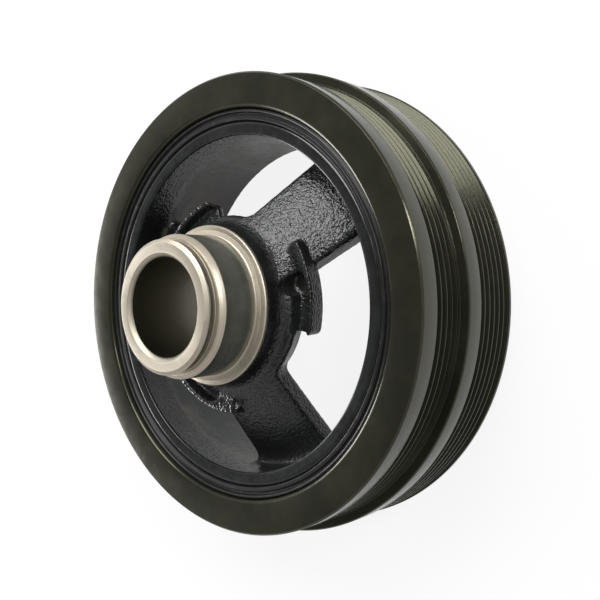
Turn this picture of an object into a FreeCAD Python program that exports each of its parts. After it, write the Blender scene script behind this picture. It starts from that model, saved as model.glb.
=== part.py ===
import FreeCAD, Part
import math
import os
import Sketcher

# Harmonic balancer for a crankshaft: a cast hub, a rubber ring bonded round it and an outer
# ring with two belt tracks. It stands on the front face of the outer ring, and the snout that
# slides over the crankshaft points up along +Z. The origin is on the axis, on that front face.

# Driving sizes, lengths in millimetres and angles in degrees.
SIZES = {
    # belt tracks, both cut with the same multi-rib groove
    "groove_pitch": 3.56,
    "groove_angle": 40,
    "groove_root_width": 0.65,
    "crest_width": 0.5,
    "crest_drop": 0.4,
    "front_grooves": 6,
    "rear_grooves": 4,
    # outer ring, its walls measured outwards from its bore
    "front_track_wall": 17.45,
    "rear_track_wall": 13.7,
    "front_flange": 1.65,
    "front_land": 8.2,
    "step_lip": 0.8,
    "rear_land": 8.9,
    "ring_edge_chamfer": 0.75,
    "step_edge_chamfer": 0.5,
    "ring_mouth_round": 1.6,
    "ring_front_chamfer": 1.0,
    # rubber ring
    "rubber_thickness": 5.0,
    "bond_line": 0.05,
    "rubber_front_recess": 1.5,
    "rubber_rear_recess": 3.2,
    "rubber_lip_height": 1.4,
    "rubber_lip_width": 1.8,
    "rubber_band_height": 0.9,
    "rubber_groove_width": 0.9,
    "rubber_lip_round": 0.45,
    # drum rim of the hub
    "rim_wall": 4.6,
    "rim_rear_recess": 2.65,
    "rim_front_recess": 0.5,
    "rim_face_fall": 0.4,
    "rim_shoulder_round": 1.1,
    "drum_mouth_lip": 0.7,
    "drum_mouth_round": 0.6,
    "drum_wall_radius": 68.2,
    "drum_front_flare": 0.8,
    "parting_height": 37.8,
    "parting_step": 0.3,
    "rim_edge_chamfer": 0.8,
    # spokes
    "spoke_count": 3,
    "boss_rise": 21.02,
    "spoke_foot_height": 33.4,
    "spoke_thickness": 11.4,
    "spoke_width": 36.7,
    "spoke_width_inset": 13.3,
    "spoke_spread": 5.5,
    "spoke_draft": 2.0,
    "spoke_wall_round": 6.5,
    "web_overlap": 7.0,
    "seam_overlap": 1.0,
    # boss and snout
    "bore_radius": 18.7,
    "bore_mouth_chamfer": 1.4,
    "bore_seat_chamfer": 0.8,
    "boss_seat_height": 33.0,
    "boss_seat_width": 4.5,
    "boss_neck_batter": 1.0,
    "boss_neck_rise": 3.4,
    "boss_shoulder": 5.0,
    "boss_side_batter": 3.5,
    "boss_side_depth": 8.62,
    "boss_under_round": 5.0,
    "boss_neck_round": 2.0,
    "boss_edge_round": 1.2,
    "collar_width": 4.0,
    "collar_rise": 8.2,
    "collar_edge_chamfer": 0.4,
    "collar_face_fall": 1.0,
    "seal_corner_round": 0.8,
    "collar_step_inset": 1.9,
    "collar_step": 0.25,
    "neck_round": 4.0,
    "snout_wall": 8.5,
    "seal_length": 16.0,
    "lead_in_drop": 1.5,
    "lead_in_length": 2.0,
    "end_land_drop": 1.95,
    "end_land": 1.5,
    "sealing_groove_width": 2.3,
    "sealing_groove_depth": 2.35,
    "snout_tip": 1.37,
    "snout_bevel": 1.45,
    "snout_lip_width": 0.4,
    # puller lips
    "lip_start": 9.0,
    "lip_end": 60.0,
    "lip_foot_gap": 1.3,
    "lip_reach": 7.7,
    "lip_crest_width": 1.6,
    "lip_crest_gain": 0.78,
    "lip_wall_draft": 9.0,
    "lip_under_gain": 0.2,
    "jaw_seat_start": 32.0,
    "jaw_seat_depth": 4.8,
    "jaw_seat_bite": 0.8,
    "lip_wall": 3.0,
    "jaw_seat_flare": 12.0,
    "jaw_seat_round": 1.2,
    "jaw_notch_radius": 3.8,
    "jaw_notch_inset": 1.5,
}

doc = FreeCAD.newDocument("harmonic_balancer")
dims = doc.addObject("Spreadsheet::Sheet", "dims")
for row, (name, size) in enumerate(SIZES.items(), start=1):
    dims.set(f"A{row}", name)
    dims.set(f"B{row}", str(size))
    dims.setAlias(f"B{row}", name)
doc.recompute()


def value(expression):
    """What an expression over the sheet comes to, as a plain number."""
    result = dims.evalExpression(expression)
    return getattr(result, "Value", result)


def origin_part(body, role):
    """One plane or axis of a body's own origin."""
    return next(part for part in body.Origin.OriginFeatures if part.Role == role)


def blank_sketch(body, name, role):
    """An empty sketch on one origin plane of its own body."""
    sketch = body.newObject("Sketcher::SketchObject", name)
    sketch.AttachmentSupport = [(origin_part(body, role), "")]
    sketch.MapMode = "FlatFace"
    return sketch


def bind(sketch, constraint, name, expression):
    """Add a constraint whose size follows the sheet."""
    index = sketch.addConstraint(constraint)
    sketch.renameConstraint(index, name)
    sketch.setExpression(f"Constraints.{name}", expression)


def pin_spot(sketch, geometry, end, label, across, up):
    """Hold one point of a sketch at a place given by two expressions."""
    for kind, axis, expression in (("DistanceX", -2, across), ("DistanceY", -1, up)):
        size = value(expression)
        if abs(size) < 1e-9:
            sketch.addConstraint(Sketcher.Constraint("PointOnObject", geometry, end, axis))
        else:
            distance = Sketcher.Constraint(kind, -1, 1, geometry, end, size)
            bind(sketch, distance, f"{label}_{kind[-1].lower()}", expression)


def draw_outline(sketch, corners, prefix="corner"):
    """Closed outline of straight runs. A corner is two expressions for its place, and a third
    for the radius of its round if it has one."""
    count = len(corners)
    spots = [FreeCAD.Vector(value(corner[0]), value(corner[1]), 0) for corner in corners]
    arrive, leave, turns = [], [], []
    for index, corner in enumerate(corners):
        back = (spots[index - 1] - spots[index]).normalize()
        ahead = (spots[(index + 1) % count] - spots[index]).normalize()
        radius = value(corner[2]) if len(corner) > 2 else 0
        half = back.getAngle(ahead) / 2
        reach = radius / math.tan(half)
        arrive.append(spots[index] + back * reach)
        leave.append(spots[index] + ahead * reach)
        centre = spots[index] + (back + ahead).normalize() * (radius / math.sin(half))
        turns.append((radius, centre, back.cross(ahead).z < 0))
    runs = []
    for index in range(count):
        run = Part.LineSegment(leave[index], arrive[(index + 1) % count])
        runs.append(sketch.addGeometry(run, False))
    for index, (radius, centre, left_turn) in enumerate(turns):
        label = f"{prefix}{index + 1}"
        across, up = corners[index][:2]
        if not radius:
            sketch.addConstraint(Sketcher.Constraint("Coincident", runs[index - 1], 2, runs[index], 1))
            pin_spot(sketch, runs[index], 1, label, across, up)
            continue
        first, last = (arrive[index], leave[index]) if left_turn else (leave[index], arrive[index])
        start = math.atan2(first.y - centre.y, first.x - centre.x)
        stop = math.atan2(last.y - centre.y, last.x - centre.x)
        if stop < start:
            stop += 2 * math.pi
        circle = Part.Circle(centre, FreeCAD.Vector(0, 0, 1), radius)
        arc = sketch.addGeometry(Part.ArcOfCircle(circle, start, stop), False)
        near, far = (1, 2) if left_turn else (2, 1)
        sketch.addConstraint(Sketcher.Constraint("Tangent", runs[index - 1], 2, arc, near))
        sketch.addConstraint(Sketcher.Constraint("Tangent", arc, far, runs[index], 1))
        bind(sketch, Sketcher.Constraint("Radius", arc, radius), f"{label}_round", corners[index][2])
        corner = sketch.addGeometry(Part.Point(spots[index]), True)
        sketch.addConstraint(Sketcher.Constraint("PointOnObject", corner, 1, runs[index - 1]))
        sketch.addConstraint(Sketcher.Constraint("PointOnObject", corner, 1, runs[index]))
        pin_spot(sketch, corner, 1, label, across, up)


def turn_profile(body, kind, name, corners):
    """Turn a closed profile, given as radius and height, right round the axis of the part."""
    sketch = blank_sketch(body, f"{name}_profile", "XZ_Plane")
    draw_outline(sketch, corners)
    feature = body.newObject(f"PartDesign::{kind}", name)
    feature.Profile = sketch
    feature.ReferenceAxis = (sketch, ["V_Axis"])
    feature.Angle = 360
    return feature


def build_body(name):
    """A body that becomes one piece of the damper, placed in the frame of the part."""
    body = doc.addObject("PartDesign::Body", name)
    body.Label = name
    body.Placement = FreeCAD.Placement()
    return body


# Radii from the drum outwards, each wall added to the one inside it.
rim_outer_radius = "(dims.drum_wall_radius + dims.rim_wall)"
ring_bore_radius = f"({rim_outer_radius} + dims.rubber_thickness)"
front_track_radius = f"({ring_bore_radius} + dims.front_track_wall)"
rear_track_radius = f"({ring_bore_radius} + dims.rear_track_wall)"

# Heights of the outer ring, counted up from the face that it stands on.
front_track_top = "(dims.front_flange + dims.front_grooves * dims.groove_pitch)"
step_height = f"({front_track_top} + dims.front_land)"
rear_track_base = f"({step_height} + dims.step_lip)"
rear_track_top = f"({rear_track_base} + dims.rear_grooves * dims.groove_pitch)"
ring_height = f"({rear_track_top} + dims.rear_land)"
front_crest = f"({front_track_radius} - dims.crest_drop)"
rear_crest = f"({rear_track_radius} - dims.crest_drop)"


# Outer ring: turned from one iron ring, with the belt grooves cut one by one.
ring = build_body("inertia_ring")
turn_profile(ring, "Revolution", "ring_blank", [
    (f"{ring_bore_radius} + dims.ring_front_chamfer", "0"),
    (front_track_radius, "0"),
    (front_track_radius, "dims.front_flange"),
    (front_crest, "dims.front_flange"),
    (front_crest, front_track_top),
    (front_track_radius, front_track_top),
    (front_track_radius, f"{step_height} - dims.step_edge_chamfer"),
    (f"{front_track_radius} - dims.step_edge_chamfer", step_height),
    (rear_track_radius, step_height),
    (rear_track_radius, rear_track_base),
    (rear_crest, rear_track_base),
    (rear_crest, rear_track_top),
    (rear_track_radius, rear_track_top),
    (rear_track_radius, f"{ring_height} - dims.ring_edge_chamfer"),
    (f"{rear_track_radius} - dims.ring_edge_chamfer", ring_height),
    (ring_bore_radius, ring_height, "dims.ring_mouth_round"),
    (ring_bore_radius, "dims.ring_front_chamfer"),
])


def cut_track(name, crest, base, count):
    """Cut the first V groove of a belt track and repeat it along the axis."""
    middle = f"{base} + dims.groove_pitch / 2"
    mouth = "(dims.groove_pitch - dims.crest_width) / 2"
    root = "dims.groove_root_width / 2"
    depth = f"(({mouth}) - ({root})) / tan(dims.groove_angle / 2)"
    groove = turn_profile(ring, "Groove", f"{name}_groove", [
        (f"{crest} - {depth}", f"{middle} - {root}"),
        (crest, f"{middle} - {mouth}"),
        (f"{crest} + dims.crest_drop", f"{middle} - {mouth}"),
        (f"{crest} + dims.crest_drop", f"{middle} + {mouth}"),
        (crest, f"{middle} + {mouth}"),
        (f"{crest} - {depth}", f"{middle} + {root}"),
    ])
    doc.recompute()
    track = ring.newObject("PartDesign::LinearPattern", f"{name}_track")
    track.Originals = [groove]
    track.Direction = (origin_part(ring, "Z_Axis"), [""])
    track.Mode = "Spacing"
    track.setExpression("Offset", "dims.groove_pitch")
    track.setExpression("Occurrences", count)
    ring.Tip = track


cut_track("front", front_crest, "dims.front_flange", "dims.front_grooves")
cut_track("rear", rear_crest, rear_track_base, "dims.rear_grooves")

# Rubber ring: moulded between the drum rim and the outer ring, with a raised lip at its rear.
rubber_inner = f"({rim_outer_radius} + dims.bond_line)"
rubber_outer = f"({ring_bore_radius} - dims.bond_line)"
rubber_base = f"({ring_height} - dims.rubber_rear_recess)"
lip_in = f"({rubber_outer} - dims.rubber_lip_width)"
band_out = f"({lip_in} - dims.rubber_groove_width)"
rubber = build_body("elastomer_ring")
turn_profile(rubber, "Revolution", "rubber_section", [
    (rubber_inner, "dims.rubber_front_recess"),
    (rubber_outer, "dims.rubber_front_recess"),
    (rubber_outer, rubber_base),
    (f"{rubber_outer} - dims.rubber_lip_width / 4",
     f"{rubber_base} + dims.rubber_lip_height", "dims.rubber_lip_round"),
    (f"{lip_in} + dims.rubber_lip_width / 6",
     f"{rubber_base} + dims.rubber_lip_height", "dims.rubber_lip_round"),
    (lip_in, rubber_base),
    (band_out, rubber_base),
    (f"{band_out} - dims.rubber_groove_width / 3",
     f"{rubber_base} + dims.rubber_band_height", "dims.rubber_lip_round / 2"),
    (f"{rubber_inner} + dims.rubber_groove_width / 2",
     f"{rubber_base} + dims.rubber_band_height", "dims.rubber_lip_round / 2"),
    (rubber_inner, rubber_base),
])

# Hub: one iron casting. Its web is a cone plate that flares into the drum rim, opened by windows
# that leave the spokes; boss, snout and rim are turned outlines added to it.
hub = build_body("hub")
drum_mouth_radius = "(dims.drum_wall_radius - dims.drum_mouth_lip)"
drum_front_radius = "(dims.drum_wall_radius + dims.drum_front_flare)"
seal_radius = "(dims.bore_radius + dims.snout_wall)"
collar_radius = f"({seal_radius} + dims.collar_width)"
boss_edge_radius = f"({collar_radius} + dims.boss_shoulder)"
spoke_gain = f"(dims.boss_rise / (dims.drum_wall_radius - {boss_edge_radius}))"
spoke_slope = f"(atan({spoke_gain}) / 1deg)"
spoke_width_radius = "(dims.drum_wall_radius - dims.spoke_width_inset)"
web_inner = "(dims.bore_radius + dims.web_overlap)"
web_outer = f"({rim_outer_radius} - dims.rim_edge_chamfer)"
near_reach = f"dims.spoke_wall_round / tan((90 - {spoke_slope}) / 2)"
far_reach = f"dims.spoke_wall_round / tan((90 + {spoke_slope}) / 2)"


def web_height(radius):
    """Height of the rear face of the spokes at a radius."""
    return f"(dims.spoke_foot_height + (dims.drum_wall_radius - ({radius})) * {spoke_gain})"


def web_underside(radius):
    """Height of the front face of the spokes at a radius."""
    return f"({web_height(radius)} - dims.spoke_thickness)"


collar_height = f"({web_height(collar_radius)} + dims.collar_rise)"
flare_top = f"{web_height('dims.drum_wall_radius')} + {near_reach} + dims.seam_overlap"
flare_base = f"{web_underside(drum_front_radius)} - {far_reach} - dims.seam_overlap"
near_wall = "dims.drum_wall_radius + dims.seam_overlap / 10"
turn_profile(hub, "Revolution", "web_plate", [
    (web_inner, web_underside(web_inner)),
    (drum_front_radius, web_underside(drum_front_radius), "dims.spoke_wall_round"),
    (drum_front_radius, flare_base),
    (web_outer, flare_base),
    (web_outer, flare_top),
    (near_wall, flare_top),
    (near_wall, web_height(near_wall), "dims.spoke_wall_round"),
    (web_inner, web_height(web_inner)),
])
doc.recompute()

# One window between two spokes, drawn with its middle along the sketch's own X axis. Its
# sides are the flanks of the spokes, with a round where each flank runs into the rim; its
# inner end lies inside the boss and its outer end inside the rim.
half_pitch = "(180 / dims.spoke_count)"
flank_slope = f"({half_pitch} - dims.spoke_spread)"
flank_x = f"({spoke_width_radius} * cos({half_pitch}) + dims.spoke_width / 2 * sin({half_pitch}))"
flank_y = f"({spoke_width_radius} * sin({half_pitch}) - dims.spoke_width / 2 * cos({half_pitch}))"
window_height = web_height(spoke_width_radius)
wall_here = f"(dims.drum_wall_radius - ({window_height} - dims.spoke_foot_height) * tan(dims.spoke_draft))"
foot_half_width = f"(dims.spoke_width / 2 + ({wall_here} - {spoke_width_radius}) * tan(dims.spoke_spread))"
foot_angle = f"(asin({foot_half_width} / {wall_here}) / 1deg)"
round_angle = f"(dims.spoke_wall_round / tan((90 - {foot_angle}) / 2) / {wall_here} * 180 / pi)"
touch_angle = f"({half_pitch} - {foot_angle} - {round_angle})"


def flank_at(across):
    """How far up the sketch a flank passes, this far across."""
    return f"({flank_y} + (({across}) - {flank_x}) * tan({flank_slope}))"


inner_x = "(dims.bore_radius + dims.web_overlap + dims.seam_overlap)"
corner_x = (f"(({wall_here} - ({flank_y} - {flank_x} * tan({flank_slope})) * sin({touch_angle}))"
            f" / (cos({touch_angle}) + tan({flank_slope}) * sin({touch_angle})))")
window = blank_sketch(hub, "window_outline", "XY_Plane")
window.setExpression("AttachmentOffset.Base.z", window_height)
window.setExpression("AttachmentOffset.Rotation.Angle", half_pitch)
draw_outline(window, [
    (inner_x, f"-{flank_at(inner_x)}"),
    (corner_x, f"-{flank_at(corner_x)}", "dims.spoke_wall_round"),
    (f"{wall_here} / cos({touch_angle})", "0"),
    (corner_x, flank_at(corner_x), "dims.spoke_wall_round"),
    (inner_x, flank_at(inner_x)),
])
opening = hub.newObject("PartDesign::Pocket", "window")
opening.Profile = window
opening.SideType = "Two sides"
opening.Type = "Length"
opening.Type2 = "Length"
opening.setExpression("Length", window_height)
opening.setExpression("Length2", f"{collar_height} - {window_height}")
opening.setExpression("TaperAngle", "dims.spoke_draft")
opening.setExpression("TaperAngle2", "-dims.spoke_draft")
doc.recompute()
windows = hub.newObject("PartDesign::PolarPattern", "windows")
windows.Originals = [opening]
windows.Axis = (origin_part(hub, "Z_Axis"), [""])
windows.Angle = 360
windows.setExpression("Occurrences", "dims.spoke_count")
hub.Tip = windows
doc.recompute()

# Boss and snout, one turned outline with the bore down its middle.
boss_seat_radius = "(dims.bore_radius + dims.boss_seat_width)"
boss_neck_radius = f"({boss_seat_radius} + dims.boss_neck_batter)"
boss_neck_height = "(dims.boss_seat_height + dims.boss_neck_rise)"
boss_under_radius = f"({boss_edge_radius} - dims.boss_side_batter)"
boss_under_height = f"({web_height(boss_edge_radius)} - dims.boss_side_depth)"
collar_step_radius = f"({collar_radius} - dims.collar_step_inset)"
seal_top = f"({collar_height} + dims.seal_length)"
lead_in_radius = f"({seal_radius} - dims.lead_in_drop)"
lead_in_top = f"({seal_top} + dims.lead_in_length)"
lip_radius = f"({seal_radius} - dims.end_land_drop)"
sealing_groove_base = f"({lead_in_top} + dims.end_land)"
sealing_groove_radius = f"({lip_radius} - dims.sealing_groove_depth)"
groove_top = f"({sealing_groove_base} + dims.sealing_groove_width)"
snout_end = f"({groove_top} + dims.snout_tip)"
snout_end_radius = f"({lip_radius} - dims.snout_bevel)"
turn_profile(hub, "Revolution", "boss_and_snout", [
    ("dims.bore_radius + dims.bore_seat_chamfer", "dims.boss_seat_height"),
    (boss_seat_radius, "dims.boss_seat_height", "dims.boss_edge_round"),
    (boss_neck_radius, boss_neck_height, "dims.boss_neck_round"),
    (boss_under_radius, boss_under_height, "dims.boss_under_round"),
    (boss_edge_radius, web_height(boss_edge_radius), "dims.boss_edge_round"),
    (collar_radius, web_height(collar_radius), "dims.neck_round"),
    (collar_radius, f"{collar_height} - dims.collar_edge_chamfer"),
    (f"{collar_radius} - dims.collar_edge_chamfer", collar_height),
    (collar_step_radius, f"{collar_height} + dims.collar_step"),
    (collar_step_radius, f"{collar_height} + 2 * dims.collar_step"),
    (seal_radius, f"{collar_height} + dims.collar_face_fall", "dims.seal_corner_round"),
    (seal_radius, seal_top),
    (lead_in_radius, lead_in_top),
    (lip_radius, lead_in_top),
    (lip_radius, sealing_groove_base),
    (sealing_groove_radius, sealing_groove_base),
    (sealing_groove_radius, groove_top),
    (lip_radius, groove_top),
    (lip_radius, f"{groove_top} + dims.snout_lip_width"),
    (snout_end_radius, snout_end),
    ("dims.bore_radius + dims.bore_mouth_chamfer", snout_end),
    ("dims.bore_radius", f"{snout_end} - dims.bore_mouth_chamfer"),
    ("dims.bore_radius", "dims.boss_seat_height + dims.bore_seat_chamfer"),
])
doc.recompute()

# Drum rim, turned outside for the rubber and cast inside, with a parting line round its wall.
rim_top = f"({ring_height} - dims.rim_rear_recess)"
turn_profile(hub, "Revolution", "drum_rim", [
    (f"{drum_front_radius} + dims.rim_edge_chamfer", "dims.rim_front_recess"),
    (f"{rim_outer_radius} - dims.rim_edge_chamfer", "dims.rim_front_recess"),
    (rim_outer_radius, "dims.rim_front_recess + dims.rim_edge_chamfer"),
    (rim_outer_radius, rim_top, "dims.rim_shoulder_round"),
    (drum_mouth_radius, f"{rim_top} - dims.rim_face_fall", "dims.drum_mouth_round"),
    ("dims.drum_wall_radius - dims.parting_step", "dims.parting_height + dims.parting_step"),
    ("dims.drum_wall_radius", "dims.parting_height"),
    (drum_front_radius, "dims.rim_front_recess + dims.rim_edge_chamfer"),
])
doc.recompute()


# Puller lips: curved ridges that a puller's jaws hook over. Each starts on a spoke and ends
# in the middle of the window beside it, with a seat for the jaw cut behind its crest.
def turn_sector(kind, name, start, stop, corners):
    """Turn a profile from one angle to another, both measured clockwise from a spoke."""
    sketch = blank_sketch(hub, f"{name}_profile", "XZ_Plane")
    clockwise = FreeCAD.Rotation(FreeCAD.Vector(0, -1, 0), 1)
    sketch.AttachmentOffset = FreeCAD.Placement(FreeCAD.Vector(), clockwise)
    sketch.setExpression("AttachmentOffset.Rotation.Angle", f"{start}")
    draw_outline(sketch, corners)
    feature = hub.newObject(f"PartDesign::{kind}", name)
    feature.Profile = sketch
    feature.ReferenceAxis = (sketch, ["V_Axis"])
    feature.setExpression("Angle", f"{stop} - {start}")
    feature.Reversed = True
    doc.recompute()
    return feature


lip_foot_radius = f"({boss_edge_radius} + dims.lip_foot_gap)"
lip_crest_radius = f"({boss_edge_radius} + dims.lip_reach)"
lip_rise = f"({web_height(boss_edge_radius)} + dims.lip_crest_gain)"
lip_under_height = f"({boss_under_height} + dims.lip_under_gain)"
jaw_seat_height = f"({lip_rise} - dims.jaw_seat_depth)"
jaw_seat_inner = f"({boss_edge_radius} - dims.jaw_seat_bite)"
jaw_seat_outer = f"({lip_crest_radius} - dims.lip_wall)"
jaw_notch_centre = f"({jaw_seat_inner} + dims.jaw_notch_inset)"
lip_drop = f"({lip_rise} - {lip_under_height}) * tan(dims.lip_wall_draft)"
lip_hidden = f"{boss_under_radius} - dims.boss_under_round / 2"
lip = turn_sector("Revolution", "puller_lip", "dims.lip_start", "dims.lip_end", [
    (lip_hidden, lip_under_height),
    (f"{lip_crest_radius} - {lip_drop}", lip_under_height),
    (lip_crest_radius, lip_rise),
    (f"{lip_crest_radius} - dims.lip_crest_width", lip_rise),
    (lip_foot_radius, web_height(lip_foot_radius)),
    (lip_hidden, web_height(lip_foot_radius)),
])
seat_rise = f"({collar_height} - {jaw_seat_height})"
seat_lean = f"{seat_rise} * tan(dims.jaw_seat_flare)"
seat = turn_sector("Groove", "jaw_seat", "dims.jaw_seat_start", "dims.lip_end", [
    (jaw_seat_inner, jaw_seat_height, "dims.jaw_seat_round"),
    (jaw_seat_outer, jaw_seat_height, "dims.jaw_seat_round"),
    (f"{jaw_seat_outer} + {seat_lean}", collar_height),
    (f"{jaw_seat_inner} - {seat_lean}", collar_height),
])

# The closed end of the jaw seat is a round notch.
notch_outline = blank_sketch(hub, "jaw_notch_outline", "XY_Plane")
turned = FreeCAD.Rotation(FreeCAD.Vector(0, 0, -1), 1)
notch_outline.AttachmentOffset = FreeCAD.Placement(FreeCAD.Vector(), turned)
notch_outline.setExpression("AttachmentOffset.Base.z", jaw_seat_height)
notch_outline.setExpression("AttachmentOffset.Rotation.Angle", "dims.jaw_seat_start")
notch_centre = FreeCAD.Vector(value(jaw_notch_centre), 0, 0)
upwards = FreeCAD.Vector(0, 0, 1)
notch_circle = Part.Circle(notch_centre, upwards, value("dims.jaw_notch_radius"))
ring_line = notch_outline.addGeometry(notch_circle, False)
pin_spot(notch_outline, ring_line, 3, "centre", jaw_notch_centre, "0")
bind(notch_outline, Sketcher.Constraint("Radius", ring_line, value("dims.jaw_notch_radius")),
     "radius", "dims.jaw_notch_radius")
notch = hub.newObject("PartDesign::Pocket", "jaw_notch")
notch.Profile = notch_outline
notch.Type = "Length"
notch.Reversed = True
notch.setExpression("Length", seat_rise)
notch.setExpression("TaperAngle", "dims.jaw_seat_flare")
doc.recompute()
lips = hub.newObject("PartDesign::PolarPattern", "puller_lips")
lips.Originals = [lip, seat, notch]
lips.Axis = (origin_part(hub, "Z_Axis"), [""])
lips.Angle = 360
lips.setExpression("Occurrences", "dims.spoke_count")
hub.Tip = lips

doc.recompute()
for item in doc.Objects:
    if "Invalid" in item.State or "Error" in item.State:
        raise RuntimeError(f"{item.Label} failed: {item.State}")

pieces = (hub, rubber, ring)
for piece in pieces:
    if piece.Shape.isNull() or not piece.Shape.isValid() or len(piece.Shape.Solids) != 1:
        raise RuntimeError(f"{piece.Label} is not one valid solid")

os.makedirs("parts", exist_ok=True)
for piece in pieces:
    piece.Shape.exportStep(f"parts/{piece.Label}.step")
    print(piece.Label, round(piece.Shape.Volume), "cubic mm", len(piece.Shape.Faces), "faces")
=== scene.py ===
import math

import bmesh
import bpy
import numpy as np
from mathutils import Matrix, Vector


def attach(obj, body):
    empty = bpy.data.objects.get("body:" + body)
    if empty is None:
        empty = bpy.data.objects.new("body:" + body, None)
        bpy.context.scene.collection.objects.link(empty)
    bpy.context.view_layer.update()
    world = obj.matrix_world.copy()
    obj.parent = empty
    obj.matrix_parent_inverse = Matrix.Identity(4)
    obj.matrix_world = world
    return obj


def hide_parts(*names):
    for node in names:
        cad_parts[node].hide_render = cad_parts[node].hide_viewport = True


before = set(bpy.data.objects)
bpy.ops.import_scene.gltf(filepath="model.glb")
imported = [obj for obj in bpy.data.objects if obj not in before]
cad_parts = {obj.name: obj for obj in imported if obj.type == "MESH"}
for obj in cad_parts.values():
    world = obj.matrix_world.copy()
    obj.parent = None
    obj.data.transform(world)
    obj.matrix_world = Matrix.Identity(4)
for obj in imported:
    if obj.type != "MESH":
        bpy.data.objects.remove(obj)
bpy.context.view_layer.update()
scene = bpy.context.scene
scene.view_settings.view_transform = "Standard"

# Studio. The damper lies on a plain white table under three lamps: a large one high up to one
# side, a large one low down behind it and a small one near the camera. The room is white, and
# its ceiling is unlit.
ROOM_LIGHT = 0.36
WALL_COLOUR = (1.0, 1.0, 1.0, 1.0)
WALL_LIGHT = 0.68
WALL_TOP = 0.48
CEILING_START = 0.80
CEILING_LIGHT = 0.11
TABLE_SIZE = 6.0
TABLE_COLOUR = (0.86, 0.86, 0.86, 1.0)
TABLE_GLOW = 0.60
TABLE_GLOW_TO_CAMERA = 0.27
SENSOR_WIDTH = 36.0
LENS_LENGTH = 48.66
NEAREST_SEEN = 0.01
FARTHEST_SEEN = 20.0
CAMERA_PLACE = (0.17426, -0.15681, 0.28077)
CAMERA_RIGHT = (0.53206, -0.53633, -0.65520)
CAMERA_UP = (0.69315, 0.72029, -0.02672)
CAMERA_BACK = (0.48626, -0.43994, 0.75500)
# Each lamp: its name, its place, the spot that it points at, its width and its power.
LAMPS = (
    ("window_light", (0.50, 0.56, 0.84), (0, 0, 0.03), 0.7, 11.5),
    ("side_light", (-1.15, 0.90, 0.40), (0, 0, 0.03), 0.7, 16.0),
    ("low_light", (1.20, -0.25, 0.90), (0, 0, 0.05), 0.3, 7.0),
)


def add_object(name, data):
    """A new object in the scene, which shows a mesh, a lamp or a lens."""
    thing = bpy.data.objects.new(name, data)
    scene.collection.objects.link(thing)
    return thing


def empty_tree(owner):
    """The node tree of a world or a material, cleared."""
    owner.use_nodes = True
    owner.node_tree.nodes.clear()
    return owner.node_tree


def add_node(tree, kind, settings=None, inputs=None):
    """One node of a tree, with its settings made and its inputs set or linked."""
    node = tree.nodes.new(kind)
    for name, setting in (settings or {}).items():
        setattr(node, name, setting)
    for name, feed in (inputs or {}).items():
        if isinstance(feed, bpy.types.NodeSocket):
            tree.links.new(feed, node.inputs[name])
        else:
            node.inputs[name].default_value = feed
    return node


def maths(tree, kind, first, second=0.0):
    """The result of one step of arithmetic on numbers or sockets."""
    return add_node(tree, "ShaderNodeMath", {"operation": kind}, {0: first, 1: second}).outputs[0]


def plus(tree, first, second):
    """The sum of two numbers or sockets."""
    return maths(tree, "ADD", first, second)


def minus(tree, first, second):
    """The first of two numbers or sockets, less the second."""
    return maths(tree, "SUBTRACT", first, second)


def times(tree, first, second):
    """The product of two numbers or sockets."""
    return maths(tree, "MULTIPLY", first, second)


def ramp(tree, factor, low, high, start=0.0, stop=1.0):
    """A number that goes smoothly from one value to another as a factor goes from start to stop."""
    return add_node(tree, "ShaderNodeMapRange", {"interpolation_type": "SMOOTHSTEP"},
                    {"Value": factor, "From Min": start, "From Max": stop,
                     "To Min": low, "To Max": high}).outputs[0]


def straight_rays(tree):
    """One for the rays that go straight to the camera."""
    return add_node(tree, "ShaderNodeLightPath").outputs["Is Camera Ray"]


def shown_rays(tree):
    """One for the rays that reach the camera straight, by a reflection or through glass."""
    path = add_node(tree, "ShaderNodeLightPath")
    seen = plus(tree, path.outputs["Is Camera Ray"], path.outputs["Is Glossy Ray"])
    seen = plus(tree, seen, path.outputs["Is Transmission Ray"])
    return add_node(tree, "ShaderNodeClamp", None, {"Value": seen}).outputs[0]


def light_room():
    """Even light from all round. The camera sees white, and reflections see walls and ceiling."""
    world = bpy.data.worlds.new("studio_room")
    tree = empty_tree(world)
    lit = add_node(tree, "ShaderNodeBackground", None, {"Color": WALL_COLOUR, "Strength": ROOM_LIGHT})
    way = add_node(tree, "ShaderNodeTexCoord").outputs["Generated"]
    rise = add_node(tree, "ShaderNodeSeparateXYZ", None, {0: way}).outputs[2]
    walls = ramp(tree, rise, WALL_LIGHT, CEILING_LIGHT, WALL_TOP, CEILING_START)
    strength = maths(tree, "MAXIMUM", walls, straight_rays(tree))
    seen = add_node(tree, "ShaderNodeBackground", None, {"Color": WALL_COLOUR, "Strength": strength})
    mixed = add_node(tree, "ShaderNodeMixShader", None,
                     {0: shown_rays(tree), 1: lit.outputs[0], 2: seen.outputs[0]})
    add_node(tree, "ShaderNodeOutputWorld", None, {"Surface": mixed.outputs[0]})
    scene.world = world


def lay_table():
    """The white table top, which keeps a soft shadow of the damper."""
    white = bpy.data.materials.new("table_top")
    tree = empty_tree(white)
    paint = add_node(tree, "ShaderNodeBsdfDiffuse", None, {"Color": TABLE_COLOUR})
    glow = add_node(tree, "ShaderNodeEmission", None, {"Strength": 1.0})
    share = plus(tree, times(tree, shown_rays(tree), TABLE_GLOW),
                 times(tree, straight_rays(tree), TABLE_GLOW_TO_CAMERA))
    mixed = add_node(tree, "ShaderNodeMixShader", None,
                     {0: share, 1: paint.outputs[0], 2: glow.outputs[0]})
    add_node(tree, "ShaderNodeOutputMaterial", None, {"Surface": mixed.outputs[0]})
    half = TABLE_SIZE / 2
    corners = [(-half, -half, 0), (half, -half, 0), (half, half, 0), (-half, half, 0)]
    mesh = bpy.data.meshes.new("table")
    mesh.from_pydata(corners, [], [(0, 1, 2, 3)])
    mesh.materials.append(white)
    add_object("table", mesh)


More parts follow.
